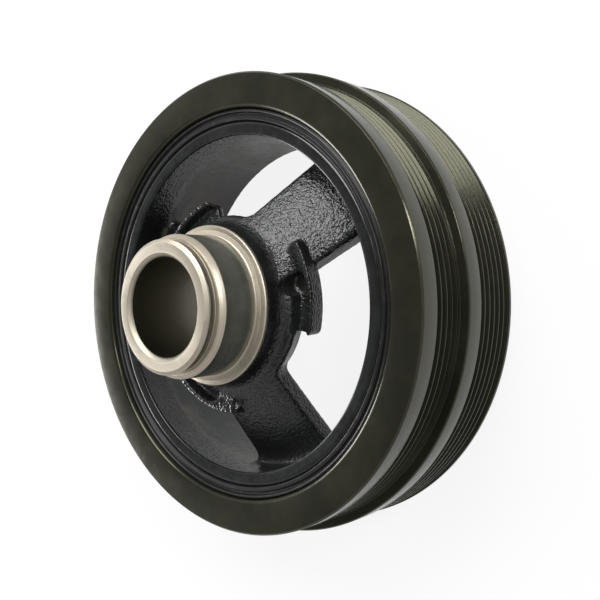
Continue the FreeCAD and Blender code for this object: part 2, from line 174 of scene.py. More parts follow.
def hang_lamp(name, place, aim, width, power):
    """A square soft light that hangs at a place and points at another."""
    lamp = bpy.data.lights.new(name, "AREA")
    lamp.size = width
    lamp.energy = power
    holder = add_object(name, lamp)
    holder.location = place
    holder.rotation_euler = (Vector(aim) - Vector(place)).to_track_quat("-Z", "Y").to_euler()


def set_camera():
    """The view of the photograph: the snout to the left, the belt tracks to the right."""
    lens = bpy.data.cameras.new("camera")
    lens.sensor_width = SENSOR_WIDTH
    lens.lens = LENS_LENGTH
    lens.clip_start = NEAREST_SEEN
    lens.clip_end = FARTHEST_SEEN
    camera = add_object("camera", lens)
    turn = Matrix((CAMERA_RIGHT, CAMERA_UP, CAMERA_BACK)).transposed().to_4x4()
    camera.matrix_world = Matrix.Translation(CAMERA_PLACE) @ turn
    scene.camera = camera


light_room()
lay_table()
for lamp_values in LAMPS:
    hang_lamp(*lamp_values)
set_camera()

# Outer ring. It is the inertia mass of the damper, an iron ring turned all over, with V
# grooves for two ribbed belts cut into steps of two diameters, and painted thinly after.
MM = 0.001
RING_HEIGHT = 55.15
RING_BORE = 77.8
FRONT_RADIUS = 95.22
REAR_RADIUS = 91.5
FRONT_TRACK_BASE = 1.65
FRONT_GROOVES = 6
STEP_HEIGHT = 31.21
REAR_TRACK_BASE = 32.01
REAR_GROOVES = 4
GROOVE_PITCH = 3.56
GROOVE_SLOPE = math.tan(math.radians(20.0))
GROOVE_ROUND = 0.16
CREST_WIDTH = 0.5
CREST_DROP = 0.4
ROOT_WIDTH = 0.65
TRACK_EDGE_ROUND = 0.12
FRONT_BEVEL = 1.0
FRONT_ROUND = 0.3
STEP_BEVEL = 0.5
STEP_ROUND = 0.2
STEP_FOOT_ROUND = 0.25
REAR_BEVEL = 0.75
REAR_ROUND = 0.25
MOUTH_ROUND = 1.6
RING_STEPS = 360
SEAM_GAP = 0.001
SHARP_EDGE = 30.0
# The finish: colours, noises in waves to a metre, and bumps as a strength and a depth.
PAINT_COLOUR = (0.013, 0.0135, 0.0095, 1.0)
PAINT_WORN = (0.026, 0.026, 0.018, 1.0)
PAINT_SHEEN = (0.92, 0.91, 0.66, 1.0)
PAINT_CLOUDS = 38.0
PAINT_WORN_MOST = 0.6
PAINT_WORN_FROM = (0.38, 0.68)
RING_SHINE_PATCHES = 160.0
RING_ROUGHNESS = (0.16, 0.22)
NOISE_MIDDLE = (0.3, 0.7)
RING_MARKS = 2600.0
RING_MARK_BUMP = (0.12, 0.02 * MM)
RING_PEEL = 900.0
RING_PEEL_BUMP = (0.18, 0.05 * MM)


def rounded(corners, steps=4):
    """A closed outline as radius and height, with each corner that gives a radius rounded."""
    spots = []
    count = len(corners)
    for at, corner in enumerate(corners):
        here = Vector(corner[:2])
        if len(corner) < 3:
            spots.append(tuple(here))
            continue
        radius = corner[2]
        back = Vector(corners[at - 1][:2]) - here
        ahead = Vector(corners[(at + 1) % count][:2]) - here
        half = back.angle(ahead) / 2
        middle = (back.normalized() + ahead.normalized()).normalized()
        centre = here + middle * radius / math.sin(half)
        first = here + back.normalized() * radius / math.tan(half) - centre
        last = here + ahead.normalized() * radius / math.tan(half) - centre
        sweep = first.angle_signed(last)
        for step in range(steps + 1):
            arm = first.copy()
            arm.rotate(Matrix.Rotation(-sweep * step / steps, 2))
            spots.append(tuple(centre + arm))
    return spots


def track(base, count, crest):
    """The outline of a belt track from its base up: a row of V grooves between narrow crests."""
    mouth = (GROOVE_PITCH - CREST_WIDTH) / 2
    root = ROOT_WIDTH / 2
    depth = (mouth - root) / GROOVE_SLOPE
    line = []
    for groove in range(count):
        middle = base + GROOVE_PITCH * (groove + 0.5)
        line += [(crest, middle - mouth, GROOVE_ROUND), (crest - depth, middle - root, GROOVE_ROUND),
                 (crest - depth, middle + root, GROOVE_ROUND), (crest, middle + mouth, GROOVE_ROUND)]
    return line


def new_tree(name, given, made):
    """An empty geometry tree with its inputs, each a name and a kind, and with one output."""
    tree = bpy.data.node_groups.new(name, "GeometryNodeTree")
    for label, kind in given:
        tree.interface.new_socket(label, in_out="INPUT", socket_type=f"NodeSocket{kind}")
    tree.interface.new_socket(made, in_out="OUTPUT", socket_type="NodeSocketGeometry")
    return tree, add_node(tree, "NodeGroupInput").outputs


def end_tree(tree, shape, finish):
    """The end of a geometry tree: its shape is made real, given its finish and handed out."""
    real = add_node(tree, "GeometryNodeRealizeInstances", None, {"Geometry": shape})
    coated = add_node(tree, "GeometryNodeSetMaterial", None,
                      {"Geometry": real.outputs[0], "Material": finish})
    add_node(tree, "NodeGroupOutput", None, {0: coated.outputs[0]})


def turned_tree(name, finish):
    """A tree that turns the points of an outline right round the axis and joins the seam."""
    tree, given = new_tree(name, (("Outline", "Geometry"), ("Steps round", "Int")), "Turned")
    outline, steps = given[0], given[1]
    points = add_node(tree, "GeometryNodeAttributeDomainSize", None, {"Geometry": outline}).outputs[0]
    across = plus(tree, steps, 1)
    grid = add_node(tree, "GeometryNodeMeshGrid", None,
                    {"Vertices X": plus(tree, points, 1), "Vertices Y": across})
    index = add_node(tree, "GeometryNodeInputIndex").outputs[0]
    row = maths(tree, "FLOOR", maths(tree, "DIVIDE", index, across))
    column = minus(tree, index, times(tree, row, across))
    position = add_node(tree, "GeometryNodeInputPosition").outputs[0]
    spot = add_node(tree, "GeometryNodeSampleIndex", {"data_type": "FLOAT_VECTOR"},
                    {"Geometry": outline, "Value": position, "Index": maths(tree, "MODULO", row, points)})
    place = add_node(tree, "ShaderNodeSeparateXYZ", None, {0: spot.outputs[0]})
    reach, up = place.outputs[0], place.outputs[2]
    angle = times(tree, maths(tree, "DIVIDE", column, steps), 2 * math.pi)
    turned = add_node(tree, "ShaderNodeCombineXYZ", None,
                      {0: times(tree, reach, maths(tree, "COSINE", angle)),
                       1: times(tree, reach, maths(tree, "SINE", angle)), 2: up})
    moved = add_node(tree, "GeometryNodeSetPosition", None,
                     {"Geometry": grid.outputs[0], "Position": turned.outputs[0]})
    joined = add_node(tree, "GeometryNodeMergeByDistance", None,
                      {"Geometry": moved.outputs[0], "Distance": SEAM_GAP * MM})
    end_tree(tree, joined.outputs[0], finish)
    return tree


def apply_tree(piece, tree, sizes, finish, sharp):
    """Shape a piece by a tree with its inputs set, and leave a plain mesh with crisp edges that
    rides on the part."""
    shaping = piece.modifiers.new(tree.name, "NODES")
    shaping.node_group = tree
    for name, size in sizes.items():
        shaping[tree.interface.items_tree[name].identifier] = size
    bpy.context.view_layer.update()
    graph = bpy.context.evaluated_depsgraph_get()
    mesh = bpy.data.meshes.new_from_object(piece.evaluated_get(graph))
    piece.modifiers.clear()
    old = piece.data
    piece.data = mesh
    bpy.data.meshes.remove(old)
    cleaned = bmesh.new()
    cleaned.from_mesh(mesh)
    bmesh.ops.recalc_face_normals(cleaned, faces=cleaned.faces)
    cleaned.to_mesh(mesh)
    cleaned.free()
    mesh.materials.clear()
    mesh.materials.append(finish)
    for face in mesh.polygons:
        face.use_smooth = True
    mesh.set_sharp_from_angle(angle=math.radians(sharp))
    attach(piece, "root")


def turned_piece(name, corners, steps, finish):
    """A piece turned from an outline that is given in millimetres as radius and height."""
    mesh = bpy.data.meshes.new(name)
    mesh.from_pydata([(across * MM, 0, up * MM) for across, up in rounded(corners)], [], [])
    piece = add_object(name, mesh)
    apply_tree(piece, turned_tree(f"{name}_turned", finish), {"Steps round": steps}, finish, SHARP_EDGE)
    return piece


def new_finish(name):
    """A new material with its shader and its output, and the coordinates of the piece."""
    finish = bpy.data.materials.new(name)
    tree = empty_tree(finish)
    shader = add_node(tree, "ShaderNodeBsdfPrincipled")
    add_node(tree, "ShaderNodeOutputMaterial", None, {"Surface": shader.outputs[0]})
    place = add_node(tree, "ShaderNodeTexCoord").outputs["Object"]
    return finish, tree, shader, place


def feed_shader(tree, shader, feeds):
    """Link results to the named inputs of a shader."""
    for name, feed in feeds.items():
        tree.links.new(feed, shader.inputs[name])


def grain(tree, place, scale, detail=3.0, rough=0.55):
    """A noise over the surface, with its scale in waves to a metre."""
    return add_node(tree, "ShaderNodeTexNoise", None,
                    {"Vector": place, "Scale": scale, "Detail": detail, "Roughness": rough}).outputs["Fac"]


def blend_colour(tree, factor, first, second):
    """A colour between two colours or sockets."""
    return add_node(tree, "ShaderNodeMix", {"data_type": "RGBA"},
                    {"Factor": factor, 6: first, 7: second}).outputs[2]


def radius_and_height(tree, place):
    """How far a place is from the axis of the damper, and how high up it is."""
    parts = add_node(tree, "ShaderNodeSeparateXYZ", None, {0: place}).outputs
    flat = add_node(tree, "ShaderNodeCombineXYZ", None, {0: parts[0], 1: parts[1]})
    length = add_node(tree, "ShaderNodeVectorMath", {"operation": "LENGTH"}, {0: flat.outputs[0]})
    return length.outputs["Value"], parts[2]


def turning_marks(tree, place, scale):
    """Fine rings that a cutting tool leaves, alike all the way round the axis."""
    reach, up = radius_and_height(tree, place)
    ring_place = add_node(tree, "ShaderNodeCombineXYZ", None, {0: reach, 2: up})
    return grain(tree, ring_place.outputs[0], scale, 2.0)


def raised(tree, height, bump, under=None):
    """A normal that lifts and dents the surface by a height, for a bump's strength and depth."""
    strength, depth = bump
    inputs = {"Height": height, "Strength": strength, "Distance": depth}
    if under is not None:
        inputs["Normal"] = under
    return add_node(tree, "ShaderNodeBump", None, inputs).outputs[0]


def ring_paint():
    """Thin satin olive-black paint over turned iron."""
    finish, tree, shader, place = new_finish("ring_paint")
    worn = ramp(tree, grain(tree, place, PAINT_CLOUDS, 4.0), 0.0, PAINT_WORN_MOST, *PAINT_WORN_FROM)
    rough = ramp(tree, grain(tree, place, RING_SHINE_PATCHES), *RING_ROUGHNESS, *NOISE_MIDDLE)
    marks = raised(tree, turning_marks(tree, place, RING_MARKS), RING_MARK_BUMP)
    peel = raised(tree, grain(tree, place, RING_PEEL, 2.0), RING_PEEL_BUMP, marks)
    colour = blend_colour(tree, worn, PAINT_COLOUR, PAINT_WORN)
    feed_shader(tree, shader, {"Base Color": colour, "Roughness": rough, "Normal": peel})
    shader.inputs["Specular Tint"].default_value = PAINT_SHEEN
    return finish


def ring_outline():
    """The section of the outer ring, up the outside from its front face and down its bore."""
    front_crest = FRONT_RADIUS - CREST_DROP
    front_track_top = FRONT_TRACK_BASE + FRONT_GROOVES * GROOVE_PITCH
    rear_crest = REAR_RADIUS - CREST_DROP
    rear_track_top = REAR_TRACK_BASE + REAR_GROOVES * GROOVE_PITCH
    return [
        (RING_BORE + FRONT_BEVEL, 0), (FRONT_RADIUS, 0, FRONT_ROUND),
        (FRONT_RADIUS, FRONT_TRACK_BASE, TRACK_EDGE_ROUND), (front_crest, FRONT_TRACK_BASE),
        *track(FRONT_TRACK_BASE, FRONT_GROOVES, front_crest),
        (front_crest, front_track_top), (FRONT_RADIUS, front_track_top, TRACK_EDGE_ROUND),
        (FRONT_RADIUS, STEP_HEIGHT - STEP_BEVEL, STEP_ROUND),
        (FRONT_RADIUS - STEP_BEVEL, STEP_HEIGHT, STEP_ROUND),
        (REAR_RADIUS, STEP_HEIGHT, STEP_FOOT_ROUND),
        (REAR_RADIUS, REAR_TRACK_BASE, TRACK_EDGE_ROUND), (rear_crest, REAR_TRACK_BASE),
        *track(REAR_TRACK_BASE, REAR_GROOVES, rear_crest),
        (rear_crest, rear_track_top), (REAR_RADIUS, rear_track_top, TRACK_EDGE_ROUND),
        (REAR_RADIUS, RING_HEIGHT - REAR_BEVEL, REAR_ROUND),
        (REAR_RADIUS - REAR_BEVEL, RING_HEIGHT, REAR_ROUND),
        (RING_BORE, RING_HEIGHT, MOUTH_ROUND), (RING_BORE, FRONT_BEVEL, FRONT_ROUND),
    ]


outer_ring = turned_piece("outer_ring", ring_outline(), RING_STEPS, ring_paint())
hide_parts("inertia_ring")

# Rubber ring. It is moulded between the hub and the outer ring and bonded to both, so that
# the outer ring can lag behind the crank. A raised lip and a lower band run round its rear.
RUBBER_INNER = 72.85
RUBBER_OUTER = 77.75
RUBBER_FRONT = 1.5
RUBBER_BASE = 51.95
RUBBER_EDGE_ROUND = 0.2
RUBBER_FOOT_ROUND = 0.3
# The lip, the groove and the band lie between these radii, from the outside in.
RUBBER_LIP = (77.3, 76.25)
RUBBER_LIP_TOP = RUBBER_BASE + 1.4
RUBBER_LIP_ROUND = 0.55
RUBBER_GROOVE = (75.95, 75.05)
RUBBER_BAND = (74.75, 73.3)
RUBBER_BAND_TOP = RUBBER_BASE + 0.9
RUBBER_BAND_ROUND = 0.3
RUBBER_STEPS = 320
RUBBER_COLOUR = (0.010, 0.010, 0.0095, 1.0)
RUBBER_DUSTY = (0.035, 0.034, 0.030, 1.0)
RUBBER_DUST = 260.0
RUBBER_DUST_MOST = 0.7
RUBBER_DUST_FROM = (0.5, 0.8)
RUBBER_ROUGHNESS = (0.30, 0.55)
RUBBER_PORES = 1500.0
RUBBER_PORE_BUMP = (0.25, 0.04 * MM)


def rubber_skin():
    """Moulded black rubber with a slight shine and a little dust."""
    finish, tree, shader, place = new_finish("rubber_skin")
    specks = grain(tree, place, RUBBER_DUST, 5.0, 0.7)
    dust = ramp(tree, specks, 0.0, RUBBER_DUST_MOST, *RUBBER_DUST_FROM)
    feed_shader(tree, shader, {
        "Base Color": blend_colour(tree, dust, RUBBER_COLOUR, RUBBER_DUSTY),
        "Roughness": ramp(tree, dust, *RUBBER_ROUGHNESS),
        "Normal": raised(tree, grain(tree, place, RUBBER_PORES), RUBBER_PORE_BUMP),
    })
    return finish


rubber_ring = turned_piece("rubber_ring", [
    (RUBBER_INNER, RUBBER_FRONT), (RUBBER_OUTER, RUBBER_FRONT),
    (RUBBER_OUTER, RUBBER_BASE, RUBBER_EDGE_ROUND),
    (RUBBER_LIP[0], RUBBER_LIP_TOP, RUBBER_LIP_ROUND),
    (RUBBER_LIP[1], RUBBER_LIP_TOP, RUBBER_LIP_ROUND),
    (RUBBER_GROOVE[0], RUBBER_BASE, RUBBER_FOOT_ROUND),
    (RUBBER_GROOVE[1], RUBBER_BASE, RUBBER_FOOT_ROUND),
    (RUBBER_BAND[0], RUBBER_BAND_TOP, RUBBER_BAND_ROUND),
    (RUBBER_BAND[1], RUBBER_BAND_TOP, RUBBER_BAND_ROUND),
    (RUBBER_INNER, RUBBER_BASE),
], RUBBER_STEPS, rubber_skin())
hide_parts("elastomer_ring")

# Hub casting. One iron casting, painted glossy black over its rough skin: a drum, a boss, three
# sloping spokes that flare into the drum, and three hooked lips for the jaws of a puller.
SPOKES = 3
THIRD = 2 * math.pi / SPOKES
SPOKE_SLOPE = math.radians(33.3)
SPOKE_FOOT = 33.4
SPOKE_THICKNESS = 11.4
SPOKE_HALF_WIDTH = 18.35
SPOKE_WIDTH_RADIUS = 54.9
SPOKE_SPREAD = math.radians(5.5)
SPOKE_DRAFT = math.tan(math.radians(2.0))
SPOKE_EDGE = 1.9
SPOKE_WALL_ROUND = 6.5
SPOKE_BOSS_ROUND = 3.0
DRUM_WALL = 68.2
RIM_OUTLINE = [(69.8, 0.5), (72.0, 0.5), (72.8, 1.3), (72.8, 52.5, 1.1), (67.5, 52.1, 0.6),
               (67.9, 38.1), (DRUM_WALL, 37.8), (69.0, 1.3)]
BOSS_OUTLINE = [(10, 33), (23.2, 33, 1.2), (24.2, 36.4, 2), (31.5, 44.5, 3), (31.5, 53), (10, 53)]
BOSS_ROUND = 2.5
BOSS_SIDE = (36.2, 54.42)
BOSS_SIDE_LEAN = math.radians(-22.1)
COLLAR_RADIUS = 31.35
COLLAR_BASE = 52.0
COLLAR_TOP = 66.0
COLLAR_ROUND = 2.6
CASTING_TOP = 65.3
LIP_MIDDLE = math.radians(-34.5)
LIP_HALF_SPAN = math.radians(25.5)
LIP_CREST = (43.9, 55.2)
LIP_CREST_WIDTH = 1.6
LIP_CREST_ROUND = 0.6
LIP_FOOT = (37.5, 53.57)
LIP_FOOT_ROUND = 1.2
LIP_SLOPE_ROUND = 0.5
LIP_DRAFT = math.radians(9.0)
LIP_UNDER = 46.0
LIP_UNDER_ROUND = 1.4
LIP_END_ROUND = 2.6
SEAT_HEIGHT = 50.4
SEAT_TOP = 57.5
SEAT_INNER = 35.4
SEAT_OUTER = 40.9
SEAT_FLARE = math.radians(12.0)
SEAT_ROUND = 1.2
SEAT_END_ROUND = 0.4
SEAT_MOUTH_ROUND = 0.5
SEAT_OVERRUN = math.radians(1.0)
NOTCH_CENTRE = 36.9
NOTCH_RADIUS = 3.8
NOTCH_ANGLE = math.radians(-32.0)
# Each run of the grid that the skin is found on: where it starts and stops, and its step.
RADIUS_RUNS = ((26.0, 34, 0.8), (34, 46, 0.5), (46, 66, 0.8), (66, 74, 0.6))
HEIGHT_RUNS = ((-0.3, 2.4, 0.5), (3.0, 28, 2.1), (28, 44, 0.9), (44, 58.5, 0.5), (58.5, 67.2, 0.9))
THIRD_STEPS = 144
# The rim's side is left out between two heights, where the rubber hides it.
RIM_SIDE = 72.6
RUBBER_COVER = (3.0, 48.0)
INNER_LOOPS = 50.0
# The rough skin fades out from the first to the second of each pair of radii or heights.
SKIN_DEPTH = 0.34
SKIN_WAVES = 470.0
SKIN_TO_RIM_SIDE = (69.2, 70.5)
SKIN_TO_RIM_FACE = (50.5, 52.0)
SKIN_ON_BOSS = (55.0, 60.0)
SKIN_TO_COLLAR = (63.5, 65.0)
CAST_SHARP_EDGE = 60.0
# Dust lies low on the drum's wall, up to a ragged edge, and there the paint is also lightened evenly as
# painted light; the rim's rear face is smooth.
CAST_COLOUR = (0.010, 0.0105, 0.0095, 1.0)
CAST_DUSTY = (0.110, 0.098, 0.074, 1.0)
CAST_GREY = (0.019, 0.025, 0.024, 1.0)
DUST_TOP = (37.4, 39.4)
DUST_WALL = (66.0, 67.3)
DUST_EDGE_WAVES = 120.0
DUST_EDGE_SWING = 9.0
DUST_EDGE_DROP = 3.5
DUST_CLOUDS = 55.0
DUST_FROM = (0.40, 0.66)
DUST_COLOUR_SHARE = 0.7
DUST_ROUGHNESS = 0.10
FACED_RADIUS = (64.0, 67.0)
FACED_HEIGHT = (50.6, 51.8)
GREY_CLOUDS = 90.0
GREY_MOST = 0.6
GREY_FROM = (0.4, 0.7)
DEEP_PAINTED_LIGHT = 0.7
DEEP_ROUGHNESS = 0.14
DEEP_SMOOTH = 0.8
CAST_SHINE_PATCHES = 420.0
CAST_ROUGHNESS = (0.13, 0.23)
PEBBLES = 950.0
PEBBLE_BUMP = (0.8, 0.50 * MM)
CAST_PEEL = 1900.0
CAST_PEEL_BUMP = (0.25, 0.06 * MM)


def overlap(first, second, edge):
    """Where two solids overlap, as distances, with the shared edge rounded."""
    corner = np.hypot(np.maximum(first + edge, 0), np.maximum(second + edge, 0))
    return np.minimum(-edge, np.maximum(first, second)) + corner


def together(first, second, fillet):
    """Two solids in one, as distances, with a fillet where they meet."""
    corner = np.hypot(np.maximum(fillet - first, 0), np.maximum(fillet - second, 0))
    return np.maximum(fillet, np.minimum(first, second)) - corner


def slant(spot, angle, across, up):
    """Distance beyond a plane through a spot, whose outward side leans up by an angle."""
    return (across - spot[0]) * math.cos(angle) + (up - spot[1]) * math.sin(angle)


def outline_distance(corners, across, up):
    """Distance to a closed outline in the plane of radius and height, less than zero inside."""
    spots = rounded(corners)
    nearest = np.full(np.broadcast(across, up).shape, np.inf)
    inside = np.zeros(nearest.shape, bool)
    for (x0, y0), (x1, y1) in zip(spots, spots[1:] + spots[:1]):
        run, rise = x1 - x0, y1 - y0
        share = np.clip(((across - x0) * run + (up - y0) * rise) / (run * run + rise * rise), 0, 1)
        nearest = np.minimum(nearest, np.hypot(across - x0 - share * run, up - y0 - share * rise))
        if rise:
            crosses = (y0 > up) != (y1 > up)
            inside ^= crosses & (across < x0 + (up - y0) * run / rise)
    return np.where(inside, -nearest, nearest)


def spoke_field(across, turn, up):
    """Distance from the skin of a spoke, which slopes from the boss down to the drum."""
    x, y = across * np.cos(turn), across * np.sin(turn)
    face = slant((DRUM_WALL, SPOKE_FOOT), math.pi / 2 - SPOKE_SLOPE, across, up)
    under = -face - SPOKE_THICKNESS * math.cos(SPOKE_SLOPE)
    middle = SPOKE_FOOT + (DRUM_WALL - SPOKE_WIDTH_RADIUS) * math.tan(SPOKE_SLOPE)
    spread = (x - SPOKE_WIDTH_RADIUS) * math.tan(SPOKE_SPREAD)
    half_width = SPOKE_HALF_WIDTH + spread + (up - middle) * SPOKE_DRAFT
    flank = (np.abs(y) - half_width) * math.cos(SPOKE_SPREAD)
    boss_side = slant(BOSS_SIDE, BOSS_SIDE_LEAN, across, up)
    side = together(flank, boss_side, SPOKE_BOSS_ROUND)
    return overlap(overlap(face, side, SPOKE_EDGE), under, SPOKE_EDGE)


def lip_field(across, along, up):
    """Distance from the skin of a puller lip, at an angle along it from its middle."""
    crest_inner = LIP_CREST[0] - LIP_CREST_WIDTH
    fall = math.atan2(LIP_CREST[1] - LIP_FOOT[1], crest_inner - LIP_FOOT[0])
    slope = slant((crest_inner, LIP_CREST[1]), math.pi / 2 + fall, across, up)
    wall = slant(LIP_CREST, -LIP_DRAFT, across, up)
    lip = overlap(overlap(wall, up - LIP_CREST[1], LIP_CREST_ROUND), slope, LIP_SLOPE_ROUND)
    lip = overlap(lip, LIP_UNDER - up, LIP_UNDER_ROUND)
    return overlap(lip, across * np.sin(np.abs(along) - LIP_HALF_SPAN), LIP_END_ROUND)


def seat_field(across, along, up):
    """Distance from the wall of the open seat for a puller's jaw, which ends in a round notch."""
    floor = SEAT_HEIGHT - up
    lean = (np.minimum(up, SEAT_TOP) - SEAT_HEIGHT) * math.tan(SEAT_FLARE)
    seat = overlap(floor, (SEAT_INNER - lean - across) * math.cos(SEAT_FLARE), SEAT_ROUND)
    seat = overlap(seat, (across - SEAT_OUTER - lean) * math.cos(SEAT_FLARE), SEAT_ROUND)
    half_span = (LIP_HALF_SPAN + NOTCH_ANGLE - LIP_MIDDLE) / 2 + SEAT_OVERRUN
    middle = NOTCH_ANGLE - LIP_MIDDLE - half_span
    seat = overlap(seat, across * np.sin(np.abs(along - middle) - half_span), SEAT_END_ROUND)
    aside = along + LIP_MIDDLE - NOTCH_ANGLE
    notch = np.hypot(across * np.cos(aside) - NOTCH_CENTRE, across * np.sin(aside))
    notch = overlap(notch - NOTCH_RADIUS - lean, floor, SEAT_ROUND)
    return np.minimum(seat, notch)


def casting_field(across, turn, up):
    """Distance from the skin of the casting for radius, angle and height, in one third of it."""
    boss = outline_distance(BOSS_OUTLINE, across, up)
    rim = outline_distance(RIM_OUTLINE, across, up)
    collar = np.maximum(np.maximum(across - COLLAR_RADIUS, COLLAR_BASE - up), up - COLLAR_TOP)
    body = together(spoke_field(across, turn, up), boss, BOSS_ROUND)
    body = together(body, collar, COLLAR_ROUND)
    body = together(body, rim, SPOKE_WALL_ROUND)
    along = (turn - LIP_MIDDLE + THIRD / 2) % THIRD - THIRD / 2
    body = together(body, lip_field(across, along, up), LIP_FOOT_ROUND)
    body = overlap(body, -seat_field(across, along, up), SEAT_MOUTH_ROUND)
    return np.maximum(body, up - CASTING_TOP)


def skin_of(field, radii, turns, heights):
    """Spots, faces and radii of the surface where a field over radius, angle and height is zero.
    The field goes right round, so the last cells in angle join the first."""
    inside = field < 0
    wide, about, tall = field.shape
    total = np.zeros((wide - 1, about, tall - 1, 3))
    count = np.zeros((wide - 1, about, tall - 1))
    crossings = []
    # Each edge of the grid that the surface crosses adds its crossing to the four cells round it.
    for axis in range(3):
        beyond = np.roll(field, -1, axis)
        crosses = inside != (beyond < 0)
        if axis != 1:
            np.moveaxis(crosses, axis, 0)[-1] = False
        crossings.append(crosses)
        share = np.where(crosses, field / np.where(crosses, field - beyond, 1), 0)
        others = [other for other in range(3) if other != axis]
        for first in (0, 1):
            for second in (0, 1):
                shift = [0, 0, 0]
                shift[others[0]], shift[others[1]] = first, second
                back = [-step for step in shift]
                near_crosses = np.roll(crosses, back, (0, 1, 2))[:wide - 1, :, :tall - 1]
                near_share = np.roll(share, back, (0, 1, 2))[:wide - 1, :, :tall - 1]
                count += near_crosses
                for other in range(3):
                    total[..., other] += near_crosses * (near_share if other == axis else shift[other])
    # Each cell that the surface passes through gets one spot, in the middle of its crossings.
    live = count > 0
    number = np.full(live.shape, -1)
    number[live] = np.arange(live.sum())
    spot = np.argwhere(live) + total[live] / count[live][:, None]
    reach = np.interp(spot[:, 0], np.arange(wide), radii)
    turn = turns[0] + spot[:, 1] * (turns[1] - turns[0])
    up = np.interp(spot[:, 2], np.arange(tall), heights)
    spots = np.stack([reach * np.cos(turn), reach * np.sin(turn), up], 1)
    # Each crossed edge gives one face between the spots of its four cells, facing outwards.
    faces = []
    around = {0: ((0, -1, -1), (0, 0, -1), (0, 0, 0), (0, -1, 0)),
              1: ((-1, 0, -1), (-1, 0, 0), (0, 0, 0), (0, 0, -1)),
              2: ((-1, -1, 0), (0, -1, 0), (0, 0, 0), (-1, 0, 0))}
    for axis, crosses in enumerate(crossings):
        at = np.argwhere(crosses)
        keep = np.ones(len(at), bool)
        for other, size in ((0, wide - 1), (2, tall - 1)):
            if other != axis:
                keep &= (at[:, other] >= 1) & (at[:, other] < size)
        at = at[keep]
        quad = []
        for step in around[axis]:
            near = at + step
            quad.append(number[near[:, 0], near[:, 1] % about, near[:, 2]])
        quad = np.stack(quad, 1)
        outward = inside[at[:, 0], at[:, 1], at[:, 2]]
        faces.append(np.where(outward[:, None], quad, quad[:, ::-1]))
    return spots, np.concatenate(faces), reach


def casting_mesh(name):
    """The skin of the casting as a closed mesh, with finer steps where it shows."""
    radii = np.concatenate([np.arange(*run) for run in RADIUS_RUNS])
    heights = np.concatenate([np.arange(*run) for run in HEIGHT_RUNS])
    turns = -THIRD / 2 + THIRD * np.arange(THIRD_STEPS) / THIRD_STEPS
    field = casting_field(radii[:, None, None], turns[None, :, None], heights[None, None, :])
    spots, faces, reach = skin_of(np.tile(field, (1, SPOKES, 1)), radii, turns, heights)
    covered = (spots[:, 2] > RUBBER_COVER[0]) & (spots[:, 2] < RUBBER_COVER[1]) & (reach > RIM_SIDE)
    faces = faces[~covered[faces].all(1)]
    used = np.unique(faces)
    mesh = bpy.data.meshes.new(name)
    mesh.from_pydata((spots[used] * MM).tolist(), [], np.searchsorted(used, faces).tolist())
    # One band closes the casting towards the snout's core, and one towards the rubber.
    built = bmesh.new()
    built.from_mesh(mesh)
    for inner in (True, False):
        loops = [edge for edge in built.edges if edge.is_boundary
                 and (edge.verts[0].co.to_2d().length < INNER_LOOPS * MM) == inner]
        bmesh.ops.bridge_loops(built, edges=loops)
    built.to_mesh(mesh)
    built.free()
    return mesh


def rises(tree, size, edge):
    """A mask that comes in as a radius or a height goes from one value to another, in millimetres."""
    return ramp(tree, size, 0.0, 1.0, edge[0] * MM, edge[1] * MM)


def falls(tree, size, edge):
    """A mask that goes out as a radius or a height goes from one value to another, in millimetres."""
    return ramp(tree, size, 1.0, 0.0, edge[0] * MM, edge[1] * MM)


def rest_of(tree, share):
    """What a share leaves of the whole."""
    return minus(tree, 1.0, share)


def rough_skin_tree(finish):
    """A tree that lifts and dents the cast faces as moulding sand leaves them."""
    inputs = (("Casting", "Geometry"), ("Depth", "Float"), ("Waves to a metre", "Float"))
    tree, given = new_tree("sand_cast_skin", inputs, "Rough casting")
    casting, depth, waves = given[0], given[1], given[2]
    place = add_node(tree, "GeometryNodeInputPosition").outputs[0]
    reach, up = radius_and_height(tree, place)
    cast = times(tree, falls(tree, reach, SKIN_TO_RIM_SIDE), falls(tree, up, SKIN_TO_RIM_FACE))
    cast = maths(tree, "MAXIMUM", cast, falls(tree, reach, SKIN_ON_BOSS))
    cast = times(tree, cast, rest_of(tree, rises(tree, up, SKIN_TO_COLLAR)))
    relief = times(tree, minus(tree, grain(tree, place, waves, 2.0, 0.5), 0.5), depth)
    push = add_node(tree, "ShaderNodeVectorMath", {"operation": "SCALE"},
                    {0: add_node(tree, "GeometryNodeInputNormal").outputs[0],
                     "Scale": times(tree, relief, cast)})
    moved = add_node(tree, "GeometryNodeSetPosition", None,
                     {"Geometry": casting, "Offset": push.outputs[0]})
    end_tree(tree, moved.outputs[0], finish)
    return tree


